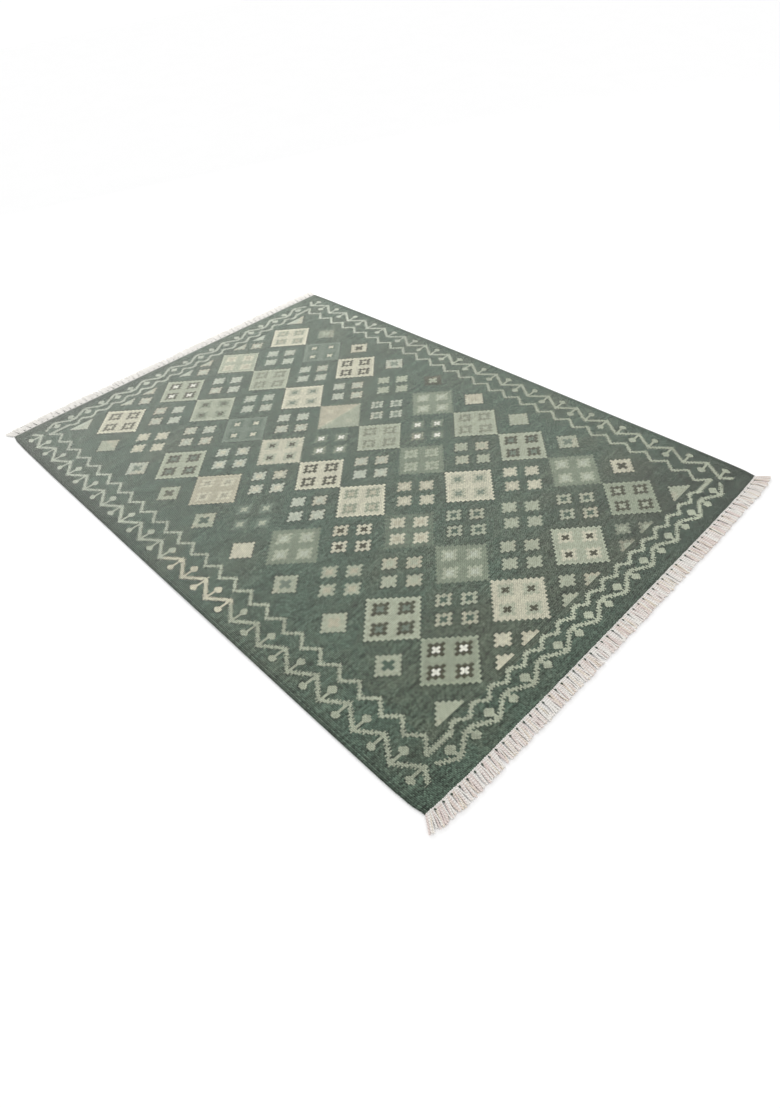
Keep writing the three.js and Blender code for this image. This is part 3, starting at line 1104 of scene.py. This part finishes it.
def build_fringes(rug):
    """Both fringes."""
    tree = fringe_tree()
    material = cotton_material(rug.fringe)
    fringes = []
    for name, sign, lean, warmth in (("near", 1, NEAR_LEAN, 1.0), ("far", -1, FAR_LEAN, 0.36)):
        values = {
            "Yarn Thickness": rug.fringe.yarn,
            "Root Height": rug.fringe.root_height,
            "Curl": rug.fringe.curl,
            "Stitch Pitch": rug.fringe.stitch_pitch,
            "Warmth": warmth,
            "Seed": rug.fringe.seed,
            "Material": material,
        }
        points = fringe_points(rug, sign, lean)
        fringes.append(grown(f"{name}_fringe", points, tree, values))
    return fringes


def build_weft_ends_and_gap_shade(rug):
    """The dark loops that show between the bundles, at both ends: partly weft ends, partly painted shade of
    the gaps there.
    """
    fringe = rug.fringe
    share = np.arange(1, fringe.bundles) / fringe.bundles
    out, up = fringe.weft_place
    places = []
    for sign in (-1, 1):
        x, y = end_place(rug.cloth, sign, share, out)
        places.append(np.column_stack((x, y, np.full_like(x, up))))
    mesh = bpy.data.meshes.new("weft_end_points")
    mesh.from_pydata(np.vstack(places), [], [])
    values = {
        "Thickness": fringe.weft_end,
        "Seed": fringe.weft_end_seed,
        "Material": weft_end_and_gap_shade_material(rug.dyes),
    }
    return grown("weft_ends", mesh, weft_end_and_gap_shade_tree(), values)


def build_floor(stage):
    """The pale floor, just under the rug."""
    half = stage.floor_size / 2
    under = -0.0003
    corners = [(-half, -half, under), (half, -half, under), (half, half, under), (-half, half, under)]
    mesh = bpy.data.meshes.new("floor")
    mesh.from_pydata(corners, [], [(0, 1, 2, 3)])
    material, start = new_material("floor_paint")
    place = start.node("ShaderNodeTexCoord", None, "Object")
    grain = start.node("ShaderNodeTexNoise", {"Vector": place, "Scale": 3})
    colour = start.colour(stage.floor).mixed(1, 0.99 + grain * 0.02, "MULTIPLY")
    finish_material(start, colour, grain, 0.0001, {"Roughness": 0.9, "Specular IOR Level": 0.1})
    mesh.materials.append(material)
    return add_object("floor", mesh)


def add_light(stage):
    """Even light from all round, and a large soft light behind the far end."""
    scene = bpy.context.scene
    scene.world = bpy.data.worlds.new("studio")
    scene.world.use_nodes = True
    sky = scene.world.node_tree.nodes["Background"]
    sky.inputs["Color"].default_value = (1, 1, 1, 1)
    sky.inputs["Strength"].default_value = stage.sky
    lamp = bpy.data.lights.new("key", "AREA")
    lamp.energy = stage.key
    lamp.size = stage.key_size
    key = add_object("key", lamp)
    key.location = stage.key_place
    key.rotation_mode = "QUATERNION"
    key.rotation_quaternion = (-Vector(stage.key_place)).to_track_quat("-Z", "Y")
    scene.view_settings.view_transform = "Standard"


def add_camera(stage):
    """The camera at the picture's angle."""
    lens = bpy.data.cameras.new("camera")
    lens.sensor_fit = "VERTICAL"
    lens.sensor_height = 36
    lens.lens = stage.lens
    lens.clip_start = 0.05
    camera = add_object("camera", lens)
    camera.location = stage.eye
    camera.rotation_mode = "QUATERNION"
    level = Vector(stage.gaze).to_track_quat("-Z", "Y")
    camera.rotation_quaternion = level @ Quaternion((0, 0, 1), stage.roll)
    bpy.context.scene.camera = camera


class RUG_OT_weave_cloth(bpy.types.Operator):
    """Weave the cloth with its corded sides and its pattern"""

    bl_idname = "rug.weave_cloth"
    bl_label = "Weave Cloth"

    def execute(self, context):
        cloth = build_cloth(context.scene.rug)
        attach(cloth, "root")
        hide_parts("rug")
        return {"FINISHED"}


class RUG_OT_lay_fringes(bpy.types.Operator):
    """Lay a fringe and its header along each end of the cloth"""

    bl_idname = "rug.lay_fringes"
    bl_label = "Lay Fringes"

    def execute(self, context):
        for piece, node in zip(build_fringes(context.scene.rug), ("fringe_near", "fringe_far")):
            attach(piece, "root")
            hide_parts(node)
        return {"FINISHED"}


class RUG_OT_tuck_weft_ends(bpy.types.Operator):
    bl_idname = "rug.tuck_weft_ends"
    bl_label = "Tuck Weft Ends"

    def execute(self, context):
        rug = context.scene.rug
        # The dark loops are partly weft ends and partly painted shade of the gaps between the bundles
        weft_ends = build_weft_ends_and_gap_shade(rug)
        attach(weft_ends, "root")
        return {"FINISHED"}


class RUG_OT_set_stage(bpy.types.Operator):
    """Set the floor, the soft light and the camera"""

    bl_idname = "rug.set_stage"
    bl_label = "Set Stage"

    def execute(self, context):
        stage = context.scene.rug.stage
        build_floor(stage)
        add_light(stage)
        add_camera(stage)
        return {"FINISHED"}


class RUG_PT_panel(bpy.types.Panel):
    """The rug's settings and operators"""

    bl_idname = "RUG_PT_panel"
    bl_label = "Dhurrie Rug"
    bl_space_type = "VIEW_3D"
    bl_region_type = "UI"
    bl_category = "Rug"

    def draw(self, context):
        rug = context.scene.rug
        for group in (rug.cloth, rug.pattern, rug.dyes, rug.fringe, rug.stage):
            box = self.layout.box()
            for name in group.__annotations__:
                box.prop(group, name)
        for operator in OPERATORS:
            self.layout.operator(operator.bl_idname)


OPERATORS = (RUG_OT_weave_cloth, RUG_OT_lay_fringes, RUG_OT_tuck_weft_ends, RUG_OT_set_stage)
CLASSES = (
    ClothSettings,
    PatternSettings,
    DyeSettings,
    FringeSettings,
    StageSettings,
    RugSettings,
    *OPERATORS,
    RUG_PT_panel,
)


def register():
    for one in CLASSES:
        bpy.utils.register_class(one)
    bpy.types.Scene.rug = PointerProperty(type=RugSettings)


def unregister():
    del bpy.types.Scene.rug
    for one in reversed(CLASSES):
        bpy.utils.unregister_class(one)


def main():
    register()
    bpy.ops.rug.weave_cloth()
    bpy.ops.rug.lay_fringes()
    bpy.ops.rug.tuck_weft_ends()
    bpy.ops.rug.set_stage()


if __name__ == "__main__":
    main()
